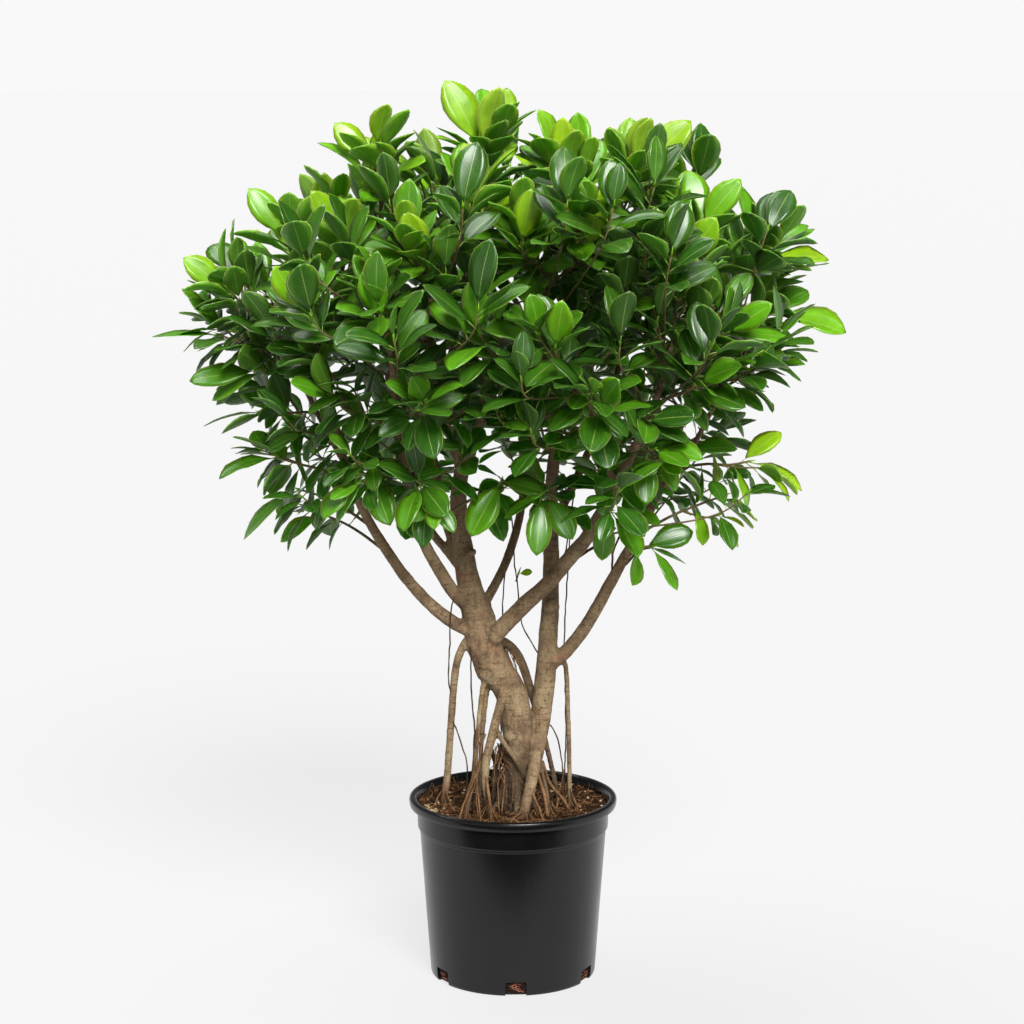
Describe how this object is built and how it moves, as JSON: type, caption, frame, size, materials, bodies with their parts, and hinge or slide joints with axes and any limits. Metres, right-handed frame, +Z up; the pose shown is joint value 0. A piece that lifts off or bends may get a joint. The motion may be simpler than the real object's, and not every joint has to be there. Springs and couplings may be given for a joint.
{
  "type": "potted ficus",
  "caption": "Small ficus tree with a swollen trunk, aerial roots and a rounded leafy crown, growing in a black nursery pot.",
  "frame": {"origin": "centre of the pot's flat underside, on the surface it stands on", "axes": "+Z up along the pot's axis, -Y towards the front of the picture, +X to the right seen from the front"},
  "size_m": [0.7857, 0.5931, 1.0268],
  "materials": {
    "nursery_plastic": "black injection-moulded polypropylene, satin",
    "potting_mix": "moist bark and coir mix, coarse and matte",
    "bark": "thin grey-brown fig bark with fine rings",
    "foliage": "leathery green leaves, glossy above"
  },
  "bodies": {
    "root": {"pot": "nursery_plastic", "soil": "potting_mix", "wood": "bark", "shoot_01": "foliage", "shoot_02": "foliage", "shoot_03": "foliage", "shoot_04": "foliage", "shoot_05": "foliage", "shoot_06": "foliage", "shoot_07": "foliage", "shoot_08": "foliage", "shoot_09": "foliage", "shoot_10": "foliage", "shoot_11": "foliage", "shoot_12": "foliage", "shoot_13": "foliage", "shoot_14": "foliage", "shoot_15": "foliage", "shoot_16": "foliage", "shoot_17": "foliage", "shoot_18": "foliage", "shoot_19": "foliage", "shoot_20": "foliage", "shoot_21": "foliage", "shoot_22": "foliage", "shoot_23": "foliage", "shoot_24": "foliage", "shoot_25": "foliage", "shoot_26": "foliage", "shoot_27": "foliage", "shoot_28": "foliage", "shoot_29": "foliage", "shoot_30": "foliage", "shoot_31": "foliage", "shoot_32": "foliage", "shoot_33": "foliage", "shoot_34": "foliage", "shoot_35": "foliage", "shoot_36": "foliage", "shoot_37": "foliage", "shoot_38": "foliage", "shoot_39": "foliage", "shoot_40": "foliage", "shoot_41": "foliage", "shoot_42": "foliage", "shoot_43": "foliage", "shoot_44": "foliage", "shoot_45": "foliage", "shoot_46": "foliage", "shoot_47": "foliage", "shoot_48": "foliage", "shoot_49": "foliage", "shoot_50": "foliage", "shoot_51": "foliage", "shoot_52": "foliage", "shoot_53": "foliage", "shoot_54": "foliage", "shoot_55": "foliage", "shoot_56": "foliage", "shoot_57": "foliage"}
  },
  "joints": []
}
